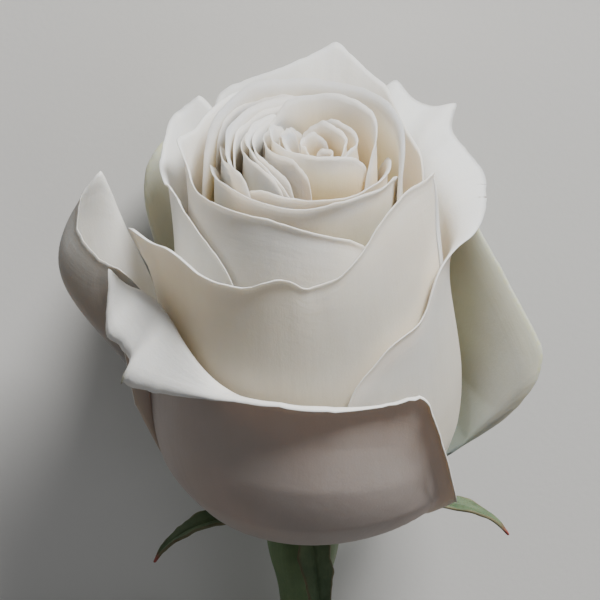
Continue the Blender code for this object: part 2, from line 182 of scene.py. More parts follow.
# Each petal: its layer, the direction its claw faces (degrees, 0 right, 90 back), how late it
# flares along the rim, how wide its claw is, and the rim from one foot to the other as
# (direction, reach, height). Some also hug the bloom, arch, cup or sag.
PETALS = {
    "petal_front": dict(
        layer=1.05, turn=-105, flare=(2.4, 4, 6, 9, 10, 10, 9, 8, 8, 7, 6), claw=0.34, sag=-6,
        hug=(0, 0, 0, 0.5, 1.2, 1.6, 1.6, 1.6, 1.6, 1.4, 1, 0.5, 0, 0, 0, 0, 0, 0, 0),
        arch=(0, 0, 3, 9, 12, 13, 15, 16, 14.5, 9, 4, 2.5, 2, 2, 2, 1, 0, 0, 0),
        rim=(
            (-172, 29.6, 22), (-172.5, 32, 40), (-172, 33.4, 50.4), (-166, 33.8, 48.5),
            (-160, 35.9, 45.4), (-155, 36.6, 43.9), (-150, 35.2, 40.3), (-146, 38, 38.8),
            (-140, 34.4, 36.8), (-130, 31.2, 37.6), (-118, 29.9, 39.6), (-105, 29.4, 40.4),
            (-92, 29.4, 40.4), (-79, 29.3, 39.7), (-65, 29.5, 38.8), (-52, 31.2, 38.6),
            (-46, 32, 33), (-40, 32.2, 23), (-33, 32, 11),
        ),
    ),
    "petal_left": dict(
        layer=0.96, turn=168, flare=(7, 3.4, 2.6, 2.4, 2.8), cup=10.3, rise=2.5, claw=0.3,
        rim=(
            (-168, 25.4, 32), (-169, 26.2, 42.3), (-175, 29.5, 47.2), (180, 32.4, 47.8),
            (178, 34.9, 48.6), (175, 37.8, 51.2), (172, 38.6, 54), (170, 38.3, 57.6),
            (169, 36.9, 60.2), (167, 35, 61.2), (162, 33.8, 53.8), (157, 32.4, 45), (152, 29, 33),
        ),
    ),
    "petal_right": dict(
        layer=0.975, turn=5, flare=(8, 8, 9, 10, 9, 7, 5), claw=0.3,
        hug=(0.5, 0.5, 0.5, 0.6, 1.1, 1.6, 1.6, 1.5, 1.2, 1, 0.8),
        arch=(0, 0, 0, 2, 4, 6, 6, 5, 4, 3, 0),
        rim=(
            (-78, 26.4, 24), (-73, 26.3, 38), (-64, 26.2, 43.5), (-54, 26.2, 47), (-43, 26, 48),
            (-35, 25.7, 50.7), (-28, 25.6, 54.4), (-18, 26.5, 56.4), (-8, 28.6, 56.8),
            (2, 30.6, 57.2), (10, 32, 58.8), (18, 33.2, 59.6), (26, 33.7, 60.5), (34, 33, 62.2),
            (41, 34.6, 62.6), (46, 37.6, 64.2), (52, 36.3, 63.2), (58, 35.2, 64.6), (63, 35.5, 66),
            (69, 34, 62), (77, 31, 46),
        ),
    ),
    "petal_middle": dict(
        layer=0.915, turn=-88, flare=(6, 7, 8, 7, 5), claw=0.34,
        rim=(
            (-6, 24.6, 30), (-12, 24.2, 44), (-14, 23.4, 56), (-10, 22.2, 65.5), (-9, 21.8, 69),
            (-20, 20.8, 69.8), (-34, 20, 70), (-47, 20, 68), (-58, 20.8, 65.5), (-68, 22, 62.6),
            (-77, 22.6, 60.2), (-85, 22.8, 59.4), (-91, 23.2, 60.1), (-97, 23.5, 61.6),
            (-104, 24, 61.2), (-112, 24.3, 59.8), (-121, 24.6, 59.1), (-130, 25.4, 59.5),
            (-138, 26, 61.2), (-146, 27, 62.4), (-156, 28, 60.8), (-167, 29.5, 60.2),
            (-174, 27.5, 53), (178, 25.2, 44), (172, 24.6, 32),
        ),
    ),
    "petal_rear": dict(
        layer=0.875, turn=75, flare=(8, 7, 6, 7, 8), claw=0.34,
        rim=(
            (9, 21, 44), (13, 20.6, 57), (20, 21.3, 64), (31, 22.3, 65.5), (46, 24, 67.5),
            (60, 28, 69.5), (71, 30, 71.5), (79, 31, 73), (86, 30, 72.8), (98, 28, 71.2),
            (112, 29, 69), (120, 29.4, 67.3), (126, 26.5, 61), (129, 23.5, 45),
        ),
    ),
    "petal_rear_left": dict(
        layer=0.833, turn=165, flare=(6, 5, 5, 6, 8), claw=0.34,
        rim=(
            (117, 21, 48), (123, 22.8, 61), (130, 26.6, 68.3), (140, 28.4, 67.5), (152, 26.6, 65.5),
            (166, 24, 64), (180, 21.2, 63), (-166, 20.4, 63.8), (-150, 20.4, 63), (-134, 20.7, 60.5),
            (-121, 20.9, 54), (-113, 21, 42),
        ),
    ),
    "petal_fore": dict(
        layer=0.753, turn=-135, flare=(8, 8, 9, 8, 8), claw=0.34,
        rim=(
            (82, 19, 50), (94, 20.5, 68), (112, 22, 71.5), (134, 21, 71), (152, 20.5, 69.7),
            (164, 21.4, 69), (176, 19.3, 68), (-168, 18.5, 67.5), (-148, 18.2, 68), (-124, 18.2, 69),
            (-100, 18.2, 68.3), (-76, 17.8, 65.6), (-54, 17.3, 60.5), (-44, 17, 50),
        ),
    ),
    "guard_right": dict(
        layer=1.05, turn=28, flare=(4, 3, 2.4, 2.2, 2.2), claw=0.34,
        rim=(
            (74, 30, 30), (64, 35, 48), (46, 36.5, 52), (30, 33.4, 49.5), (18, 35, 43),
            (8, 38.4, 36), (1, 41.4, 29), (0, 40.4, 24), (0, 37.5, 19), (1, 33.5, 15),
            (3, 29.2, 12.6), (8, 26.4, 12),
        ),
    ),
    "guard_left": dict(
        layer=1.06, turn=108, flare=(4, 3, 3, 3, 4), claw=0.34,
        rim=(
            (80, 29, 30), (88, 31.5, 46), (104, 34, 56), (122, 36, 58.5), (134, 36.5, 56.5),
            (140.5, 36.2, 50), (142, 33, 38), (137, 29, 22),
        ),
    ),
    "guard_back": dict(
        layer=1.19, turn=82, flare=(3, 2.6, 2.4, 2.6, 3), claw=0.34,
        rim=(
            (46, 31, 22), (54, 36, 38), (64, 39.5, 50), (76, 40, 56), (92, 39.4, 58),
            (108, 40, 55), (120, 40, 45), (127, 36.5, 30), (124, 32, 18),
        ),
    ),
}


def ring_petal(layer, turn, half, top, lip, dip, droop):
    """A plain petal of the middle, its rim a broad level arc with drooping ends."""
    rim = []
    for u in (-1, -0.94, -0.8, -0.5, 0, 0.5, 0.8, 0.94, 1):
        fall = np.interp(abs(u), (0.5, 0.8, 0.94, 1), (0, 0.13, 0.4, 1))
        height = top - fall * droop - dip * u
        reach = float(layer_radius(layer, height)) + lip * (1 - 0.7 * abs(u) ** 3)
        rim.append((turn + half * u, reach, height))
    return dict(layer=layer, turn=turn, flare=(9, 8, 8, 8, 9), claw=0.34, rim=rim, nested=True)


# The middle of the bloom: layer, direction, half width (degrees), height, lip, dip, droop.
RINGS = {
    "ring_a": (0.65, 75, 98, 75.3, 0.8, 0, 20),
    "ring_b": (0.585, -98, 110, 70.2, 1.0, -0.5, 20),
    "ring_c": (0.525, 130, 92, 73.6, 0.6, 0, 20),
    "ring_d": (0.47, -65, 100, 70.2, 0.8, 0, 20),
    "ring_e": (0.415, 175, 84, 73.2, 0.5, 0, 20),
    "ring_f": (0.365, 60, 104, 75.4, 0.5, 0, 20),
    "heart_a": (0.306, -130, 108, 75.0, 0.3, 0, 16),
    "heart_b": (0.25, 15, 100, 73.2, -0.3, 0, 14),
    "heart_c": (0.184, 35, 96, 73.2, -0.6, 0, 14),
    "heart_d": (0.128, 160, 118, 73.0, -2.2, 0, 12),
}

# Sepals: direction, droop of the tip below the foot, length, how far its tip curls up, and how
# high it arches on the way.
SEPALS = {
    "sepal_right": (-7, 3, 33, 0.5, 4.6),
    "sepal_left": (-162, 8, 23.5, 2.5, 3.3),
    "sepal_front": (-78, 24, 17, -3, -1.2),
    "sepal_back_right": (46, 13, 26, 4, -1.2),
    "sepal_back_left": (140, 14, 27, 4, -1.2),
}

# Prickles: distance below the hip's top, and direction.
PRICKLES = {"prickle_a": (44, -40), "prickle_b": (63, 175), "prickle_c": (96, -75)}

# Leaflets: foot, direction, length, width. The petiole joins the stem at LEAF_NODE.
LEAFLETS = {
    "leaflet_tip": ((-32.5, 6.4, -64.0), (-0.88, 0.06, 0.47), 35, 23),
    "leaflet_up": ((-19.8, 3.7, -68.0), (-0.10, 0.09, 0.99), 28, 18),
    "leaflet_low": ((-21.3, 3.7, -71.1), (-0.88, 0.09, -0.46), 28, 18),
}


def stem_path(z):
    """Centre line of the stem below the hip, with a slight bow."""
    t = -z / STEM_LENGTH
    return np.stack([1.6 * np.sin(np.pi * t) * t, 2.2 * np.sin(np.pi * t), z], -1)


def stem_radius(z):
    """Radius of the stem below the hip, between its nodes."""
    return np.interp(-z, (0, 23, 60, STEM_LENGTH), (STEM_RADIUS + 0.3, STEM_RADIUS, 3.6, 3.7))


def turns_of(sides):
    """The angle of each of a ring's points."""
    return np.linspace(0, 2 * np.pi, sides, endpoint=False)


def tube_rings(path, radii, sides):
    """Rings round a path, each across it."""
    ahead = unit(np.gradient(path, axis=0))
    aside = unit(np.cross(ahead, (0, 1, 0)))
    up = np.cross(aside, ahead)
    turns = turns_of(sides)
    return path[:, None] + np.array(radii)[:, None, None] * (
        np.cos(turns)[:, None] * aside[:, None] + np.sin(turns)[:, None] * up[:, None]
    )


def ribbon(path, aside, widths, fold, across):
    """A blade round a path: points (along, across, 3), its sides lifted by fold."""
    ahead = unit(np.gradient(path, axis=0))
    side = unit(aside - ahead * (ahead @ aside)[:, None])
    up = np.cross(side, ahead)
    u = np.linspace(-1, 1, across)
    half = np.array(widths)[:, None, None] / 2
    return path[:, None] + half * (u[:, None] * side[:, None] + fold * abs(u)[:, None] * up[:, None])


def sepal_grid(turn, droop, length, curl, arch, across, along):
    """A narrow pointed blade out from the hip and down."""
    v = evenly(along)
    span = length * 0.93 * math.cos(math.radians(droop * 1.6)) / math.sin(1.35)
    out = HIP_RADIUS + 0.2 + span * np.sin(v * 1.35)
    z = -4.3 - droop * v**1.4 + curl * v**3 + arch * np.sin(np.pi * v)
    a = math.radians(turn)
    path = np.stack([out * math.cos(a), out * math.sin(a), z], -1)
    widths = np.interp(v, (0, 0.25, 0.6, 0.85, 1), (5.6, 5.4, 3.0, 1.5, 0.5))
    return ribbon(path, np.array((-math.sin(a), math.cos(a), 0)), widths, -0.25, across)


# ---- fine petals ----

# Per petal: how far its rim rolls outward (mm, then degrees, spread along the rim), how wavy the
# rim is, how much the blade undulates, where the rim runs out to a point (place along the rim,
# size in mm, sharpness), and a seed. Some are also softened, set in by inset mm, or depart from
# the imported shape.
LOOKS = {
    "petal_front": dict(
        roll=(1.6, 1.8, 1.7, 1.5, 1.5, 1.7, 1.9, 2, 1.4),
        curl=(20, 25, 30, 60, 85, 95, 90, 105, 50), wave=1, warp=0.4,
        tips=((0.385, 1.2, 0.014), (0.84, 1, 0.03)), soften=6, seed=3,
        shape=dict(flare=(2.4, 4, 6, 9, 10, 10, 9, 8, 5, 2, 1.2)),
    ),
    "petal_left": dict(
        roll=(1.2, 1.4, 1.2, 1), curl=(15, 25, 20, 15), wave=0.8, warp=0.3,
        tips=((0.74, 2, 0.03),), soften=3, seed=5,
    ),
    "petal_right": dict(
        roll=(1.2, 1.4, 1.8, 1.6), curl=(40, 35, 35, 25), wave=0.6, warp=0.35,
        tips=((0.755, 1.5, 0.03), (0.9, 1.2, 0.02)), seed=8,
    ),
    "petal_middle": dict(
        roll=(1, 1.2, 1.3, 1.2, 1), curl=(20, 45, 65, 60, 35), wave=0.8, warp=0.35,
        tips=((0.44, 0.8, 0.03), (0.85, 1.6, 0.03)), seed=13,
    ),
    "petal_rear": dict(
        roll=(1.2, 1, 1.2), curl=(25, 10, 25), wave=0.6, warp=0.35,
        tips=((0.545, 2.2, 0.06),), seed=21,
    ),
    "petal_rear_left": dict(
        roll=(1.6, 2.2, 1.8, 1.2), curl=(30, 50, 45, 20), wave=0.7, warp=0.3,
        tips=((0.19, 1.6, 0.03),), seed=34,
    ),
    "petal_fore": dict(
        roll=(1, 1.2, 1.4, 1.2), curl=(20, 25, 50, 35), wave=0.6, warp=0.25,
        tips=((0.13, 1.2, 0.03), (0.4, 2, 0.04)), seed=55,
    ),
    "guard_right": dict(
        roll=(1.8, 1.6, 1, 0.8), curl=(30, 25, 10, 8), wave=0.6, warp=0.4,
        tips=((0.5, 1.2, 0.05),), seed=89,
        shape=dict(
            rim=(
                *PETALS["guard_right"]["rim"][:6], (1, 41.4, 29.4), (-0.5, 41, 24.2),
                (0, 38.6, 19.4), (2, 35.2, 14.4), (6, 32, 11.3), (13, 29.2, 11), (22, 26, 11.6),
            ),
        ),
    ),
    "guard_left": dict(
        roll=(1.8, 1.8, 1.8), curl=(30, 40, 30), wave=0.6, warp=0.4,
        tips=((0.45, 1.5, 0.05),), seed=144,
    ),
    "guard_back": dict(
        roll=(1.2, 1.2, 1.2), curl=(5, 6, 5), wave=0.5, warp=0.12,
        tips=((0.5, 1.2, 0.06),), inset=0.4, seed=233,
    ),
}
RING_LOOK = dict(roll=(0.5, 0.7, 0.8, 0.7, 0.5), curl=(20, 45, 55, 45, 20), wave=0.9, warp=0.16)
HEART_LOOK = dict(roll=(0.3, 0.5, 0.3), curl=(15, 30, 15), wave=0.7, warp=0.1)

# What sets one petal of the middle apart from the plain look, and the few whose rim stands
# higher or leans another way than a plain ring's.
MIDDLE_LOOKS = {
    "ring_a": dict(tips=((0.62, 1.2, 0.03),), warp=0.08),
    "ring_b": dict(
        tips=((0.3, 1.2, 0.02), (0.55, 0.8, 0.015)), warp=0.06, roll=(0.5, 0.7, 0.8, 0.5, 0.2),
        wave=0.6, inset=0.25,
    ),
    "ring_c": dict(tips=((0.72, 1.4, 0.04),)),
    "ring_d": dict(tips=((0.22, 1.4, 0.02),)),
    "ring_f": dict(tips=((0.5, 1.8, 0.16),), roll=(0.4, 0.6, 0.4), curl=(10, 20, 10)),
    "heart_a": dict(tips=((0.85, 1, 0.05),)),
    "heart_b": dict(shape=dict(shift=-1.3)),
    "heart_c": dict(shape=dict(shift=-1.4), tips=((0.6, 0.8, 0.04),)),
    "heart_d": dict(shape=dict(shift=-1.4)),
    "fold_f": dict(shape=dict(shift=-1.35)),
    "fold_g": dict(shape=dict(shift=-1.4)),
}

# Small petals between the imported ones, too thin and too many for solids: the numbers of RINGS,
# then how the rim rolls (mm, degrees).
FOLDS = {
    "fold_a": (0.616, 122, 38, 73, 0.6, 0, 12, 0.3, 15),
    "fold_b": (0.493, 136, 64, 72.6, 0.4, 0, 14, 0.3, 20),
    "fold_c": (0.443, 190, 60, 72.4, 0.5, -0.6, 12, 0.4, 25),
    "fold_d": (0.390, 175, 80, 73.2, 0.35, 0, 14, 0.4, 25),
    "fold_e": (0.336, 200, 64, 73.8, 0.3, -0.8, 12, 0.4, 25),
    "fold_f": (0.218, 195, 92, 73.2, -0.2, 0, 10, 0.4, 20),
    "fold_g": (0.156, 178, 54, 74.2, 0.1, 0, 8, 1.1, 75),
    "fold_h": (0.556, 196, 36, 72, 0.5, -0.8, 12, 0.3, 20),
    "fold_i": (0.02, 20, 140, 70.5, -0.3, 0, 6, 0.2, 10),
}


def ripple(t, seed, waves, first):
    """A smooth wandering curve over t, from -1 to 1 or so, the same each run."""
    rng = np.random.default_rng(seed)
    total = np.zeros_like(np.asarray(t, float))
    for k in range(1, waves + 1):
        size = rng.uniform(0.5, 1.0) / k**0.8
        total += size * np.sin(2 * np.pi * (first * k * t + rng.uniform()))
    return total * 0.6


def raw_normals(grid):
    """Unit normals of a grid of points, on whichever side its order gives."""
    return unit(np.cross(np.gradient(grid, axis=0), np.gradient(grid, axis=1)))


def facing(grid):
    """1 if a grid's normals mostly point away from the bloom's middle line, or -1."""
    return 1 if (raw_normals(grid)[..., :2] * grid[..., :2]).sum() > 0 else -1


def normals_of(grid):
    """Unit normals of a grid of points, away from the bloom's middle line."""
    return raw_normals(grid) * facing(grid)


def soften(shape, width, v):
    """Evens out a blade from rib to rib, by width ribs, and leaves its rim as it is."""
    reach = int(3 * width)
    weights = np.exp(-0.5 * (np.arange(-reach, reach + 1) / width) ** 2)
    weights /= weights.sum()
    padded = np.pad(shape, ((0, 0), (reach, reach), (0, 0)), mode="reflect", reflect_type="odd")
    even = sum(w * padded[:, k : k + shape.shape[1]] for k, w in enumerate(weights))
    share = held((0.99 - v) / 0.12) * held((v - 0.5) / 0.2)
    return shape + (even - shape) * share[:, None, None]


def blade_grid(petal, look, across, along):
    """A fine petal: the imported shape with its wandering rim, rolled lip and undulating blade."""
    own = look.get("shape", {})
    grid = petal_grid(dict(petal, **own), across, along)
    t = evenly(across)
    v = evenly(along)
    grid[..., 0] += own.get("shift", 0.0) * v[:, None] ** 3
    ends = held(np.minimum(t, 1 - t) / 0.08)
    seed = look["seed"]
    # the rim wanders: each rib is a little longer or shorter, and some run out to a point
    longer = look["wave"] * (0.6 * ripple(t, seed, 9, 1.5) + 0.25 * ripple(t, seed + 9, 7, 7.3)) * ends
    point = np.zeros(across)
    for place, size, sharp in look.get("tips", ()):
        away = np.sqrt((t - place) ** 2 + (0.25 * sharp) ** 2) - 0.25 * sharp
        point += size * (np.exp(-away / sharp) - 0.35 * np.exp(-(((t - place) / sharp / 2.5) ** 2)))
    reach = np.linalg.norm(np.diff(grid, axis=0), axis=2).sum(axis=0)
    up = v[:, None]
    spots = up + (longer / reach)[None] * up**5 + (point / reach)[None] * up**12
    shape = np.empty_like(grid)
    for i in range(across):
        slope = (grid[-1, i] - grid[-3, i]) / (v[-1] - v[-3])
        beyond = held(spots[:, i] - 1)[:, None] * slope
        for k in range(3):
            shape[:, i, k] = np.interp(spots[:, i], v, grid[:, i, k])
        shape[:, i] += beyond
    if "soften" in look:
        shape = soften(shape, look["soften"], v)
    # the blade undulates, more towards the rim
    swell = np.outer(v**2 * np.clip((1.02 - v) / 0.05, 0.6, 1), ends)
    lift = look["warp"] * swell * (
        ripple(t + 0.35 * up, seed + 1, 4, 0.8) * 0.7
        + ripple(up * 0.8 + 0.2 * t, seed + 2, 3, 0.8) * 0.5
        + ripple(t * 1.1 - 0.15 * up, seed + 5, 6, 3.7) * 0.22 * up**4
    )
    shape = shape + normals_of(shape) * (lift - look.get("inset", 0.0))[..., None]
    return roll_lip(shape, look, t, seed)


def roll_lip(shape, look, t, seed):
    """Turns the last few millimetres of each rib outward on an arc."""
    along, across, _ = shape.shape
    out = normals_of(shape)
    steps = np.linalg.norm(np.diff(shape, axis=0), axis=2)
    lengths = np.concatenate([np.zeros((1, across)), np.cumsum(steps, axis=0)])
    roll = along_rim(look["roll"], t) * (1 + 0.25 * ripple(t, seed + 3, 7, 1.3))
    curl = np.radians(along_rim(look["curl"], t) * (1 + 0.35 * ripple(t, seed + 4, 8, 1.6)))
    curl = np.clip(curl, 0.08, 2.3)
    for i in range(across):
        total = lengths[-1, i]
        size = min(max(roll[i], 0.2), 0.35 * total)
        first = int(np.searchsorted(lengths[:, i], total - size))
        first = min(max(first, 2), along - 3)
        base = shape[first, i]
        ahead = unit(base - shape[first - 1, i])
        aside = unit(out[first, i] - ahead * (ahead @ out[first, i]))
        reach = lengths[first:, i] - lengths[first, i]
        tight = curl[i] / max(reach[-1], 1e-6)
        turn = tight * reach
        move = np.outer(np.sin(turn) / tight, ahead) + np.outer((1 - np.cos(turn)) / tight, aside)
        shape[first:, i] = base + move
    return shape


def walled(grid, wall, thin=0.4, outward=None):
    """Points and faces of a sheet given a wall that thins to its rim, with its attributes.

    Its outer side faces away from the bloom's middle line, or the way outward says.
    """
    along, across, _ = grid.shape
    v = evenly(along)[:, None]
    t = evenly(across)[None, :]
    edge = np.minimum(np.minimum(1 - v, 0.5), np.minimum(t, 1 - t) * 3) / 0.08
    half = wall / 2 * (thin + (1 - thin) * held(edge) ** 0.5)
    sign = facing(grid) if outward is None else outward
    out = raw_normals(grid) * sign * half[..., None]
    points = np.concatenate([(grid + out).reshape(-1, 3), (grid - out).reshape(-1, 3)])
    count = along * across
    index = np.arange(count).reshape(along, across)
    corners = index[:-1, :-1], index[:-1, 1:], index[1:, 1:], index[1:, :-1]
    quads = np.stack(corners, -1).reshape(-1, 4)
    loop = np.concatenate([index[0, :-1], index[:-1, -1], index[-1, :0:-1], index[:0:-1, 0]])
    after = np.roll(loop, -1)
    strip = np.stack([after, loop, loop + count, after + count], -1)
    faces = np.concatenate([quads, quads[:, ::-1] + count, strip])
    if sign > 0:
        faces = faces[:, ::-1]
    marks = {
        "along": np.tile(np.repeat(v, across), 2),
        "across": np.tile(t.ravel(), 2 * along),
        "inner": np.repeat((0.0, 1.0), count),
    }
    return points, faces, marks


def linked(name, data):
    """A new object in the scene that shows this data."""
    thing = bpy.data.objects.new(name, data)
    bpy.context.scene.collection.objects.link(thing)
    return thing


def make_piece(name, points, faces, marks, material, node):
    """A mesh piece from points in the flower's frame, laid down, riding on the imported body."""
    mesh = bpy.data.meshes.new(name)
    world = np.asarray(points) @ np.array(PLACE.to_3x3()).T + np.array(PLACE.translation)
    mesh.from_pydata(world.tolist(), [], [tuple(face) for face in faces])
    for mark, values in marks.items():
        layer = mesh.attributes.new(mark, "FLOAT", "POINT")
        layer.data.foreach_set("value", np.asarray(values, np.float32))
    mesh.polygons.foreach_set("use_smooth", np.ones(len(mesh.polygons), bool))
    mesh.materials.append(material)
    mesh.update()
    piece = linked(name, mesh)
    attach(piece, "root")
    if node:
        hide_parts(node)
    return piece


# ---- stem, sepals and leaf ----


def smooth_profile(spots, heights, span):
    """A profile through (height, radius) pairs, evened out over span points each way."""
    raw = np.interp(heights, [z for z, _ in spots][::-1], [r for _, r in spots][::-1])
    weights = np.hanning(2 * span + 1)
    return np.convolve(np.pad(raw, span, mode="edge"), weights / weights.sum(), "valid")


def tube_piece(name, rings, marks, material, node):
    """A tube through rings of points (count, sides, 3), closed by a fan at each end."""
    count, sides, _ = rings.shape
    index = np.arange(count * sides).reshape(count, sides)
    after = np.roll(index, -1, axis=1)
    quads = np.stack([after[:-1], index[:-1], index[1:], after[1:]], -1).reshape(-1, 4)
    first, last = count * sides, count * sides + 1
    faces = [tuple(quad) for quad in quads]
    faces += [(int(a), int(b), first) for a, b in zip(index[0], after[0])]
    faces += [(int(b), int(a), last) for a, b in zip(index[-1], after[-1])]
    ends = rings[[0, -1]].mean(axis=1)
    points = np.concatenate([rings.reshape(-1, 3), ends])
    marks = {key: np.append(values, (values[0], values[-1])) for key, values in marks.items()}
    return make_piece(name, points, faces, marks, material, node)


def tube_marks(rings, blush=0.0):
    """A tube's attributes: its length, its way round, and how red it is."""
    count, sides, _ = rings.shape
    u = np.linspace(0, 1, sides, endpoint=False)
    return {
        "along": np.repeat(evenly(count), sides),
        "across": np.tile(np.abs(u - 0.5) * 2, count),
        "blush": np.broadcast_to(blush, (count, sides)).ravel(),
    }


# The hip and stem as (height, radius).
HIP_PROFILE = (
    (13.6, 0.5), (11.5, 1.8), (6.5, 3.2), (1.5, 4.5), (-1.2, 5.0), (-3.2, 5.4), (-5.4, 6.2),
    (-9, 6.62), (-12, 6.6), (-15.5, 6.1), (-19, 5.3), (-22.5, 4.7), (-26, 4.35), (-30, 4.14),
    (-60, 3.6), (-128, 3.7),
)
HIP_TOP = 13.4

# The height of each node of the stem, and how far it swells there.
STEM_NODES = ((LEAF_NODE - 0.5, 0.5), (-50.5, 0.22), (-113, 0.28))


def add_stem(skin, cut):
    """The hip and stem as one skin, swollen at its leaf nodes, and the slanted cut."""
    count, sides = 300, 48
    heights = np.linspace(HIP_TOP, -STEM_LENGTH, count)
    path = np.stack([*stem_path(np.minimum(heights, 0)).T[:2], heights], -1)
    radii = smooth_profile(HIP_PROFILE, heights, 5)
    turns = turns_of(sides)
    for z, size in STEM_NODES:
        radii = radii + size * np.exp(-(((heights - z) / 2.4) ** 2))
    rings = tube_rings(path, radii, sides)
    centre = path[:, None]
    z = heights[:, None]
    ribs = 1 + 0.012 * np.sin(5 * turns + 0.02 * z) + 0.008 * np.sin(9 * turns + 1.3 + 0.05 * z)
    ribs = ribs + 0.008 * ripple(z / 60 + turns / (2 * np.pi), STEM_SEED, 6, 1.0)
    rings = centre + (rings - centre) * ribs[..., None]
    ahead = unit(path[-1] - path[-2])
    # shear the last stretch into the slanted cut
    slant = held((z + STEM_LENGTH) / 8)
    shift = (1 - slant) * np.sin(turns) * radii[-1] * 0.9
    rings = rings + ahead * shift[..., None]
    # one side reddens in patches
    side = held(np.cos(turns - 0.25)) ** 2 * held((6 - z) / 14)
    patch = held(0.55 + 0.5 * ripple(z / 90 + 0.15 * turns, STEM_SEED + 1, 5, 1.0))
    marks = tube_marks(rings, side * patch * 0.75)
    piece = tube_piece("stem_skin", rings, marks, skin, None)
    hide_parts("hip", "stem")
    # the cut face, a shallow dish of rings
    spokes = np.linspace(0.02, 1.005, 16)
    middle = rings[-1].mean(axis=0)
    dish = middle + (rings[-1] - middle) * spokes[:, None, None]
    dish = dish + ahead * (0.15 - 0.16 * spokes[:, None, None] ** 3)
    both = np.concatenate([(dish - ahead * 0.35)[::-1], dish])
    tone = np.repeat(np.concatenate([np.ones(len(spokes)), spokes]), sides)
    tube_piece("stem_cut", both, {"along": tone}, cut, None)


def add_prickles(skin):
    """Hooked prickles on broad oval feet."""
    count, sides = 26, 28
    v = evenly(count)[:, None]
    for name, (below, turn) in PRICKLES.items():
        centre, radius = stem_path(np.array(float(-below))), float(stem_radius(-below))
        out = np.array((math.cos(math.radians(turn)), math.sin(math.radians(turn)), 0.0))
        path = centre + out * (radius - 0.35 + 6.05 * v) + np.array((0, 0, -2.6)) * v**2
        sizes = (2.15, 1.5, 1.08, 0.78, 0.46, 0.2, 0.04)
        radii = np.interp(v[:, 0], (0, 0.07, 0.18, 0.35, 0.6, 0.85, 1), sizes)
        rings = tube_rings(path, radii, sides)
        middle = path[:, None, 2]
        rings[:, :, 2] = middle + (rings[:, :, 2] - middle) * (1 + 0.75 * (1 - v) ** 1.5)
        marks = tube_marks(rings, held(0.35 + v * 0.9))
        tube_piece(f"{name}_hook", rings, marks, skin, name)


def add_sepals(skin):
    """Long narrow sepals with a keel, a few side wisps and curled edges."""
    fine = dict(SEPALS, sepal_back_left=(140, 10, 23, 7, -1.2))  # its tip curls up behind the bloom
    across, along, wall = SEPAL_BLADE
    for seed, (name, numbers) in enumerate(fine.items(), SEPAL_SEED):
        grid = sepal_grid(*numbers, across, along)
        v = evenly(along)[:, None]
        u = np.linspace(-1, 1, across)[None, :]
        middle = grid[:, across // 2][:, None]
        waist = np.interp(v, (0, 0.1, 0.28, 0.5, 0.75, 1), (0.9, 1.05, 1.08, 1.15, 1.05, 0.6))
        notch = 1 + 0.16 * ripple(v * 1.2 + 0.5 * (u > 0), seed, 8, 1.6) * abs(u) ** 4
        grid = middle + (grid - middle) * (waist * notch)[..., None]
        up = raw_normals(grid)
        up = up * np.sign(up[..., 2].mean())
        wave = 0.45 * ripple(v * 1.4 + 0.5 * (u > 0), seed + 30, 5, 1.2)
        wave = wave * abs(u) ** 2.5 * np.sin(np.pi * v)
        keel = -0.35 * np.exp(-((u / 0.16) ** 2)) * (1 - v)
        grid = grid + up * (wave + keel + 0.25 * u**2)[..., None]
        outward = -np.sign(raw_normals(grid)[..., 2].mean())
        points, faces, marks = walled(grid, wall, 0.35, outward)
        tip = held((marks["along"] - 0.86) / 0.11)
        edge = held(np.abs(marks["across"] - 0.5) * 2 - 0.86) / 0.14
        marks["blush"] = np.maximum(tip, edge * 0.18)
        make_piece(f"{name}_blade", points, faces, marks, skin, name)


def leaf_shape(v):
    """Half width of a leaflet along its length, as a share of its widest."""
    sizes = np.array((0.04, 0.52, 0.82, 0.97, 1.0, 0.93, 0.78, 0.56, 0.31, 0.12, 0.01))
    return np.clip(natural_weights(len(sizes), v) @ sizes, 0.008, 1)


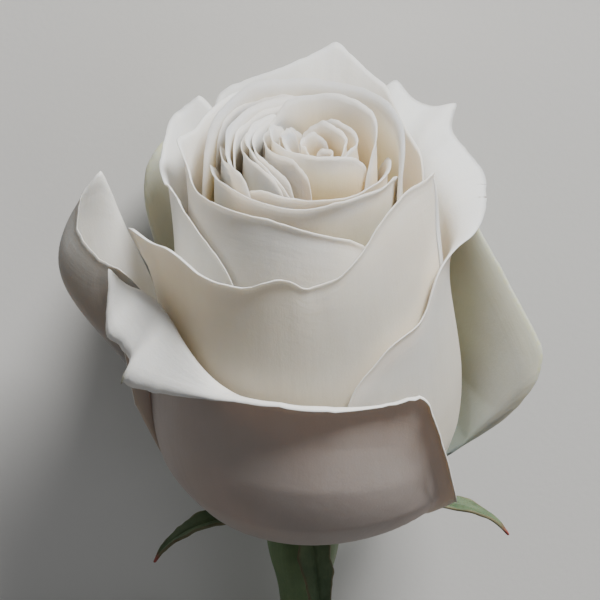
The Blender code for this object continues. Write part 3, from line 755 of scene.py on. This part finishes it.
def fine_leaflet(foot_point, heading, length, width, seed):
    """A toothed, quilted leaflet and how near each of its points is to a vein."""
    across, along, wall = LEAFLET_BLADE
    v = evenly(along)
    heading = unit(np.array(heading))
    path = np.array(foot_point) + heading * (length * v)[:, None]
    path[:, 1] += 2.2 * v**2 - 1.8 * np.sin(np.pi * v)
    grid = ribbon(path, np.cross(heading, (0, 1, 0)), width * leaf_shape(v), 0.22, across)
    u, v = np.linspace(-1, 1, across)[None, :], v[:, None]
    saw = (v * 21 + 0.3 * (u > 0)) % 1
    tooth = 0.085 * (saw - 0.55) * held((v - 0.05) / 0.06) * held((1 - v) / 0.04)
    middle = grid[:, across // 2][:, None]
    grid = middle + (grid - middle) * (1 + tooth * abs(u) ** 7)[..., None]
    grid = grid + heading * (0.5 * saw * abs(u) ** 9 * np.sin(np.pi * v))[..., None]
    up = raw_normals(grid)
    up = up * -np.sign(up[..., 1].mean())
    slant = (v - 0.19 * abs(u) ** 1.15 + 0.02 * (u > 0)) * 9.5
    near = np.abs(slant - np.round(slant))
    fade = held((0.97 - abs(u)) / 0.15) * held((0.97 - v) / 0.1)
    quilt = (np.sin(np.pi * held(near * 2) / 2) ** 0.8) * fade * held(abs(u) / 0.12)
    rib = np.exp(-((u * width * leaf_shape(v[:, 0])[:, None] / 2 / 0.42) ** 2))
    ruffle = 0.5 * ripple(v * 1.3 + 0.5 * (u > 0), seed, 5, 1.4) * abs(u) ** 3 * np.sin(np.pi * v)
    grid = grid + up * (0.26 * quilt - 0.34 * rib * (1 - v) + ruffle)[..., None]
    side = np.exp(-((near / 0.055) ** 2)) * fade * 0.75
    vein = np.maximum(side, rib * held((1 - v) * 4))
    blush = held(abs(u) ** 9 * 1.1) * (0.35 + 0.3 * np.sin(9 * v))
    outward = -np.sign(raw_normals(grid)[..., 1].mean())
    points, faces, marks = walled(grid, wall, 0.5, outward)
    marks["vein"] = np.tile(vein.ravel(), 2)
    marks["blush"] = np.tile(held(blush).ravel(), 2)
    return points, faces, marks


def petiole_path():
    """The leaf stalk's line from the stem to the foot of the end leaflet."""
    node, tip = stem_path(np.array(LEAF_NODE)), np.array(LEAFLETS["leaflet_tip"][0])
    out = unit(np.array((-1.0, 0.15, 0.0)))
    start = node + out * (float(stem_radius(LEAF_NODE)) + 1.15)
    end = tip + unit(start - tip) * 0.5
    v = evenly(60)[:, None]
    path = start + (end - start) * v + np.array((0, -1.2, 2.0)) * np.sin(np.pi * v)
    reach = np.linspace(1, 0, 8)[:, None]
    return np.concatenate([start - out * 1.6 * reach[:-1], path, [tip + (tip - end) * 0.8]])


def add_leaf(blade, stalk):
    """The three leaflets, and the stalks that carry them."""
    for seed, (name, numbers) in enumerate(LEAFLETS.items(), LEAF_SEED):
        points, faces, marks = fine_leaflet(*numbers, seed)
        make_piece(f"{name}_blade", points, faces, marks, blade, name)
    path = petiole_path()
    v = evenly(len(path))
    radii = np.interp(v, (0, 0.1, 0.22, 0.5, 0.9, 1), (2.1, 1.55, 1.15, 0.92, 0.72, 0.55))
    rings = tube_rings(path, radii, 20)
    marks = tube_marks(rings, 0.25 + 0.3 * np.cos(turns_of(20)))
    tube_piece("petiole_skin", rings, marks, stalk, "petiole")
    for name in ("leaflet_up", "leaflet_low"):
        foot_point, heading = np.array(LEAFLETS[name][:2])
        base = path[np.linalg.norm(path - foot_point, axis=1).argmin()]
        w = evenly(14)[:, None]
        line = base + (foot_point + unit(heading) * 1.5 - base) * w
        rings = tube_rings(line, np.linspace(0.75, 0.5, 14), 14)
        tube_piece(f"{name}_stalk", rings, tube_marks(rings), stalk, None)
    add_stipules(stalk, path)


def add_stipules(skin, path):
    """Two narrow wings along the foot of the leaf stalk, each ending in a free point."""
    across, along, wall = STIPULE_BLADE
    v = evenly(along)
    # along the stalk's path, from point 5 to point 24
    spots = np.linspace(5, 24, along)
    line = np.stack([np.interp(spots, range(len(path)), path[:, k]) for k in range(3)], -1)
    ahead = unit(np.gradient(line, axis=0))
    for letter, sign in (("a", -1), ("b", 1)):
        side = unit(np.cross(ahead, (0, 1, 0))) * sign
        width = np.interp(v, (0, 0.15, 0.6, 0.8, 1), (0.7, 1.7, 2.0, 1.9, 2.4))
        root = np.interp(v, (0, 0.72, 1), (0.55, 0.55, 2.3))
        u = evenly(across)
        span = root[:, None] + (np.maximum(width - (root - 0.55) * 0.5, 0.12)[:, None]) * u[None]
        lift = 0.35 * np.sin(np.pi * u)[None] * np.sin(2.5 * np.pi * v)[:, None]
        grid = line[:, None] + side[:, None] * span[..., None] + np.array((0, -1.0, 0)) * lift[..., None]
        points, faces, marks = walled(grid, wall, 0.5, 1.0)
        marks["blush"] = held(marks["across"] - 0.7)
        make_piece(f"stipule_{letter}", points, faces, marks, skin, None)


# ---- materials ----


class Nodes:
    """Short calls for building one material's node tree."""

    def __init__(self, name, roughness, specular):
        self.material = bpy.data.materials.new(name)
        self.material.use_nodes = True
        self.tree = self.material.node_tree
        self.shader = self.tree.nodes["Principled BSDF"]
        self.set(Roughness=roughness, Specular_IOR_Level=specular)

    def set(self, **values):
        """Sets the shader's own inputs, named with _ for a space."""
        for key, value in values.items():
            self.shader.inputs[key.replace("_", " ")].default_value = value

    def fill(self, sockets, values):
        """Gives each socket its number or colour, or links it to its source."""
        for socket, value in zip(sockets, values):
            if isinstance(value, (int, float)):
                socket.default_value = value
            elif isinstance(value, tuple):
                socket.default_value = (*value, 1)
            else:
                self.tree.links.new(value, socket)

    def add(self, kind, links=(), **values):
        node = self.tree.nodes.new(kind)
        for key, value in values.items():
            if key in node.inputs:
                node.inputs[key].default_value = value
            else:
                setattr(node, key, value)
        for socket, source in dict(links).items():
            self.tree.links.new(source, node.inputs[socket])
        return node

    def mark(self, name):
        return self.add("ShaderNodeAttribute", attribute_name=name).outputs["Fac"]

    def place(self):
        return self.add("ShaderNodeTexCoord").outputs["Object"]

    def maths(self, operation, first, second=0.5, clamp=False):
        node = self.add("ShaderNodeMath", operation=operation, use_clamp=clamp)
        self.fill(node.inputs, (first, second))
        return node.outputs[0]

    def times(self, first, second, clamp=False):
        return self.maths("MULTIPLY", first, second, clamp)

    def less(self, first, second):
        return self.maths("SUBTRACT", first, second)

    def noise(self, vector, scale, detail, roughness=0.55):
        return self.add(
            "ShaderNodeTexNoise", {"Vector": vector}, Scale=scale, Detail=detail, Roughness=roughness
        ).outputs["Fac"]

    def ramp(self, fac, *stops):
        node = self.add("ShaderNodeValToRGB", {"Fac": fac})
        ramp = node.color_ramp
        while len(ramp.elements) < len(stops):
            ramp.elements.new(0.5)
        for element, (spot, colour) in zip(ramp.elements, stops):
            element.position = spot
            element.color = (*colour, 1)
        return node.outputs["Color"]

    def grey(self, fac, *stops):
        return self.ramp(fac, *[(spot, (value,) * 3) for spot, value in stops])

    def mix(self, fac, first, second, blend="MIX"):
        node = self.add("ShaderNodeMix", data_type="RGBA", blend_type=blend)
        # of a Mix node's sockets, 6, 7 and output 2 are the colours
        self.fill((node.inputs["Factor"], node.inputs[6], node.inputs[7]), (fac, first, second))
        return node.outputs[2]

    def join(self, x, y, z=0.0):
        node = self.add("ShaderNodeCombineXYZ")
        self.fill(node.inputs, (x, y, z))
        return node.outputs[0]

    def bump(self, height, distance, strength, below=None):
        links = {"Height": height}
        if below is not None:
            links["Normal"] = below
        return self.add("ShaderNodeBump", links, Strength=strength, Distance=distance).outputs["Normal"]

    def finish(self, colour, normal, roughness=None):
        sources = {"Base Color": colour, "Normal": normal, "Roughness": roughness}
        for socket, source in sources.items():
            if source is not None:
                self.tree.links.new(source, self.shader.inputs[socket])
        return self.material


def petal_material(
    name, stops, outer_tint_and_shade, outer_share, glow=0.45, depth=0.003, blush=0, marks=(), patches=()
):
    """Petal skin: foot to rim colours, a tinted back that on some petals is darkened as painted shade,
    faint long veins and a velvety grain.

    Each of marks is a stained stretch of rim: its place along the rim, half width, and colour.
    """
    n = Nodes(name, 0.62, 0.22)
    along, across, inner = n.mark("along"), n.mark("across"), n.mark("inner")
    spot = n.place()
    cloud = n.noise(spot, 55, 3)
    wander = n.maths("ADD", along, n.times(n.less(cloud, 0.5), 0.12))
    base = n.ramp(wander, *stops)
    # the back side is multiplied by its own colour; on the front and left petals this darkening is
    # painted shade
    base = n.mix(n.times(n.less(1, inner), outer_share), base, outer_tint_and_shade, "MULTIPLY")
    # faint veins fan from the foot to the rim, over a soft mottle
    fan = n.join(n.times(across, 20), n.times(along, 2.2), n.times(inner, 3))
    veins = n.noise(fan, 1, 4, 0.6)
    base = n.mix(0.5, base, n.grey(veins, (0.32, 0.93), (0.68, 1)), "MULTIPLY")
    mottle = n.noise(spot, 170, 4, 0.6)
    shade = n.ramp(mottle, (0.34, (0.955, 0.95, 0.94)), (0.66, (1, 1, 1)))
    base = n.mix(0.6, base, shade, "MULTIPLY")
    if blush:  # only on the back
        flush = n.grey(n.noise(spot, 38, 4, 0.6), (0.42, 0), (0.72, 1))
        flush = n.times(flush, n.less(1, inner))
        base = n.mix(n.times(flush, blush), base, (0.8, 0.64, 0.61), "MULTIPLY")
    if patches:  # a second tone in soft clouds, on both sides
        share = n.grey(n.noise(spot, 30, 3), (0.36, 0), (0.56, patches[1]))
        base = n.mix(share, base, patches[0])
    for place, half, colour in marks:
        away = n.maths("DIVIDE", n.maths("ABSOLUTE", n.less(across, place)), half)
        near = n.maths("SUBTRACT", 1, away, clamp=True)
        edge = n.times(n.less(along, 0.972), 60, clamp=True)
        flecks = n.grey(n.noise(spot, 900, 2), (0.4, 0.2), (0.6, 1))
        base = n.mix(n.times(n.times(near, edge), flecks), base, colour)
    crease = n.noise(n.join(n.times(across, 12), n.times(along, 48)), 1, 3)
    crease = n.times(crease, n.grey(along, (0.72, 0), (0.92, 1)))
    normal = n.bump(crease, 0.0005, 0.13)
    normal = n.bump(veins, 0.0004, 0.28, normal)
    normal = n.bump(n.noise(spot, 520, 3, 0.6), 0.0002, 0.16, normal)
    normal = n.bump(n.noise(spot, 2600, 2), 0.00006, 0.4, normal)
    n.set(Subsurface_Weight=glow, Subsurface_Radius=(1, 0.74, 0.5), Subsurface_Scale=depth)
    n.set(Sheen_Weight=0.12, Sheen_Roughness=0.5)
    rough = n.grey(cloud, (0.3, 0.55), (0.7, 0.7))
    return n.finish(base, normal, rough)


def green_material(name, dark, light, tip, rough, scale):
    """Skin of the hip, stem, sepals and prickles: mottled green that reddens where marked."""
    n = Nodes(name, rough, 0.35)
    spot = n.place()
    mottle = n.noise(spot, scale, 5, 0.6)
    base = n.ramp(mottle, (0.32, dark), (0.68, light))
    red = n.times(n.mark("blush"), n.grey(n.noise(spot, 160, 3), (0.3, 0.6), (0.6, 1)))
    base = n.mix(red, base, tip)
    grain = n.join(n.times(n.mark("across"), 40), n.times(n.mark("along"), 6))
    streak = n.noise(grain, 1, 3)
    base = n.mix(0.35, base, n.grey(streak, (0.3, 0.75), (0.7, 1)), "MULTIPLY")
    normal = n.bump(streak, 0.0003, 0.4)
    normal = n.bump(n.noise(spot, 1500, 3), 0.00008, 0.5, normal)
    n.set(Subsurface_Weight=0.08, Subsurface_Scale=0.001)
    return n.finish(base, normal, n.grey(mottle, (0.3, rough - 0.1), (0.7, rough + 0.1)))


def cut_material():
    """The stem's cut face: pale pith inside a green ring."""
    n = Nodes("stem_cut", 0.7, 0.2)
    ring = n.ramp(
        n.mark("along"), (0, (0.62, 0.62, 0.42)), (0.55, (0.55, 0.6, 0.36)),
        (0.72, (0.3, 0.42, 0.16)), (1, (0.12, 0.22, 0.07)),
    )
    speck = n.noise(n.place(), 1800, 3)
    ring = n.mix(0.4, ring, n.grey(speck, (0.35, 0.7), (0.65, 1)), "MULTIPLY")
    return n.finish(ring, n.bump(speck, 0.0002, 0.5))


def leaf_material():
    """Glossy upper face with pale veins, duller and lighter beneath."""
    n = Nodes("leaflet", 0.42, 0.45)
    spot = n.place()
    mottle = n.noise(spot, 140, 5, 0.6)
    base = n.ramp(mottle, (0.3, (0.022, 0.07, 0.02)), (0.7, (0.05, 0.13, 0.035)))
    base = n.mix(n.mark("vein"), base, (0.16, 0.26, 0.09))
    base = n.mix(n.mark("blush"), base, (0.22, 0.06, 0.03))
    base = n.mix(n.times(n.mark("inner"), 0.55), base, (0.2, 0.3, 0.16))
    normal = n.bump(n.noise(spot, 700, 3), 0.0003, 0.5)
    n.set(Subsurface_Weight=0.06, Subsurface_Scale=0.001)
    return n.finish(base, normal, n.grey(mottle, (0.3, 0.36), (0.7, 0.5)))


def floor_material():
    """A matt, nearly even grey."""
    n = Nodes("floor", 0.85, 0.2)
    tone = n.ramp(n.noise(n.place(), 3, 4), (0.3, (0.76, 0.76, 0.76)), (0.7, (0.8, 0.8, 0.795)))
    return n.finish(tone, n.bump(n.noise(n.place(), 900, 2), 0.0001, 0.2))


# ---- pieces ----

# The petals' colours as (place from foot to rim, colour).
# In WHITE, RING and HEART the warm tan towards the foot is partly the petals' own cream base, partly
# painted shade and glow of the deep gaps.
WHITE = (
    (0, (0.8, 0.69, 0.48)), (0.5, (0.9, 0.84, 0.73)),
    (0.8, (0.91, 0.88, 0.82)), (0.95, (0.93, 0.92, 0.885)),
)
RING = (
    (0, (0.74, 0.48, 0.2)), (0.82, (0.9, 0.7, 0.43)),
    (0.92, (0.94, 0.82, 0.63)), (0.98, (0.95, 0.925, 0.875)),
)
HEART = (
    (0, (0.74, 0.44, 0.16)), (0.86, (0.9, 0.64, 0.33)),
    (0.94, (0.94, 0.79, 0.56)), (0.985, (0.96, 0.93, 0.87)),
)
FRONT = (
    (0, (0.74, 0.72, 0.68)), (0.45, (0.87, 0.85, 0.825)),
    (0.8, (0.91, 0.895, 0.86)), (0.95, (0.93, 0.92, 0.885)),
)
GUARD = (
    (0, (0.23, 0.31, 0.22)), (0.4, (0.315, 0.355, 0.35)),
    (0.85, (0.4, 0.425, 0.41)), (0.97, (0.6, 0.615, 0.54)),
)


def petal_materials():
    """Finishes by kind of petal."""
    nick, fleck, lime = (0.66, 0.66, 0.4), (0.16, 0.1, 0.06), (0.56, 0.57, 0.36)
    flecks = ((0.5, 0.003, fleck), (0.535, 0.002, fleck))
    deep = dict(glow=0.75, depth=0.006)
    dense = dict(glow=0.28, depth=0.002)
    kinds = {
        "white": (WHITE, (0.92, 0.9, 0.87), 0.8, {}),
        "right": (WHITE, (0.76, 0.735, 0.715), 0.9, dict(marks=flecks)),
        # the front petal's back is a dusky pink-grey, darkened further as painted shade of its shaded
        # underside
        "front": (
            FRONT, (0.52, 0.465, 0.45), 1, dict(dense, blush=0.25, marks=((0.385, 0.016, nick),)),
        ),
        # the left petal's dark grey back is painted shade; the petal itself is near white there
        "left": (FRONT, (0.41, 0.425, 0.44), 1, dict(dense, blush=0.12)),
        "warm": (WHITE, (0.89, 0.83, 0.75), 0.9, dict(blush=0.1)),
        "ring": (RING, (0.97, 0.95, 0.92), 0.8, deep),
        "heart": (HEART, (0.97, 0.93, 0.86), 0.6, deep),
        "guard": (
            GUARD, (0.93, 0.95, 0.89), 0.8,
            dict(blush=0.15, marks=((0.5, 0.5, lime),), patches=((0.33, 0.39, 0.3), 0.5)),
        ),
    }
    return {
        kind: petal_material(f"petal_{kind}", stops, back_tone_and_shade, share, **more)
        for kind, (stops, back_tone_and_shade, share, more) in kinds.items()
    }


# The outer petals whose finish isn't plain white.
OWN_FINISH = {
    "petal_front": "front", "petal_left": "left", "petal_middle": "warm", "petal_right": "right",
}


def finish_of(name):
    """A petal's finish, and a slot name that nothing here uses."""
    if name.startswith("guard"):
        return "guard", "petal_guard"
    if name.startswith("heart") or name in ("fold_f", "fold_g", "fold_i"):
        return "heart", "petal_cream"
    if name.startswith(("ring", "fold")):
        return "ring", "petal_white"
    return OWN_FINISH.get(name, "white"), "petal_white"


def add_petals():
    """Every petal from the outside in: the outer ones, the rings and heart, then the folds."""
    finishes = petal_materials()
    petals = {name: (petal, LOOKS[name], OUTER_BLADE) for name, petal in PETALS.items()}
    for count, (name, numbers) in enumerate(RINGS.items()):
        look = RING_LOOK if name.startswith("ring") else HEART_LOOK
        look = dict(look, seed=RING_SEED + 7 * count, **MIDDLE_LOOKS.get(name, {}))
        petals[name] = ring_petal(*numbers), look, RING_BLADE
    for count, (name, (*numbers, roll, curl)) in enumerate(FOLDS.items()):
        look = dict(roll=(0.5 * roll, roll, 0.5 * roll), curl=(0.4 * curl, curl, 0.4 * curl))
        look.update(wave=0.7, warp=0.03, seed=FOLD_SEED + 5 * count, **MIDDLE_LOOKS.get(name, {}))
        petals[name] = ring_petal(*numbers), look, FOLD_BLADE
    for name, (petal, look, (across, along, wall)) in petals.items():
        finish, slot = finish_of(name)
        points, faces, marks = walled(blade_grid(petal, look, across, along), wall)
        node = name if name in PETALS or name in RINGS else None
        make_piece(f"{name}_blade", points, faces, marks, finishes[finish], node)


def add_greens():
    """The stem with its prickles, the sepals and the leaf."""
    skin = green_material(
        "stem_skin", (0.1, 0.17, 0.075), (0.2, 0.29, 0.13), (0.26, 0.09, 0.06), 0.54, 70.0
    )
    sepal = green_material(
        "sepal_skin", (0.07, 0.12, 0.06), (0.16, 0.22, 0.12), (0.38, 0.04, 0.05), 0.55, 220.0
    )
    hook = green_material(
        "prickle_skin", (0.3, 0.22, 0.12), (0.42, 0.28, 0.15), (0.25, 0.06, 0.035), 0.4, 300.0
    )
    add_stem(skin, cut_material())
    add_prickles(hook)
    add_sepals(sepal)
    add_leaf(leaf_material(), skin)


def add_camera():
    """The bloom from the front and a little above, as it was seen upright."""
    tilt = math.radians(CAMERA_TILT_DEG)
    right, up = Vector((1, 0, 0)), Vector((0, math.sin(tilt), math.cos(tilt)))
    ahead = Vector((0, math.cos(tilt), -math.sin(tilt)))
    turn = Matrix((right, up, -ahead)).transposed()
    eye = Vector(CAMERA_AIM) - CAMERA_DISTANCE * ahead
    data = bpy.data.cameras.new("camera")
    data.sensor_width, data.lens = SENSOR, LENS
    data.clip_start, data.clip_end = 0.01, 20
    camera = linked("camera", data)
    camera.rotation_mode = "QUATERNION"
    camera.rotation_quaternion = (TURN @ turn).to_quaternion()
    camera.location = PLACE @ eye
    bpy.context.scene.camera = camera


def add_light(name, place, aim, size, watts, colour):
    """A round soft light, size metres across, that faces its aim."""
    data = bpy.data.lights.new(name, "AREA")
    data.shape, data.size, data.energy, data.color = "DISK", size, watts, colour
    light = linked(name, data)
    light.location = place
    light.rotation_mode = "QUATERNION"
    light.rotation_quaternion = (Vector(aim) - Vector(place)).to_track_quat("-Z", "Y")


def add_studio():
    """The floor that the rose lies on, a dim sky, and two lights."""
    floor = bpy.data.meshes.new("floor")
    floor.from_pydata([(-6, -6, 0), (6, -6, 0), (6, 6, 0), (-6, 6, 0)], [], [(0, 1, 2, 3)])
    floor.materials.append(floor_material())
    ground = linked("floor", floor)
    world = bpy.data.worlds.new("studio")
    bpy.context.scene.world = world
    world.use_nodes = True
    sky = world.node_tree.nodes["Background"].inputs
    sky["Color"].default_value = (1.0, 0.99, 0.97, 1)
    sky["Strength"].default_value = 0.145
    bloom = (0, 0.06, 0.035)
    add_light("key", (0.36, 0.98, 0.42), bloom, size=0.32, watts=20.5, colour=(1.0, 0.98, 0.94))
    add_light("fill", (0.5, -0.1, 0.9), bloom, size=0.7, watts=0.8, colour=(0.95, 0.97, 1.0))


def main():
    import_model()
    add_petals()
    add_greens()
    add_camera()
    add_studio()


main()
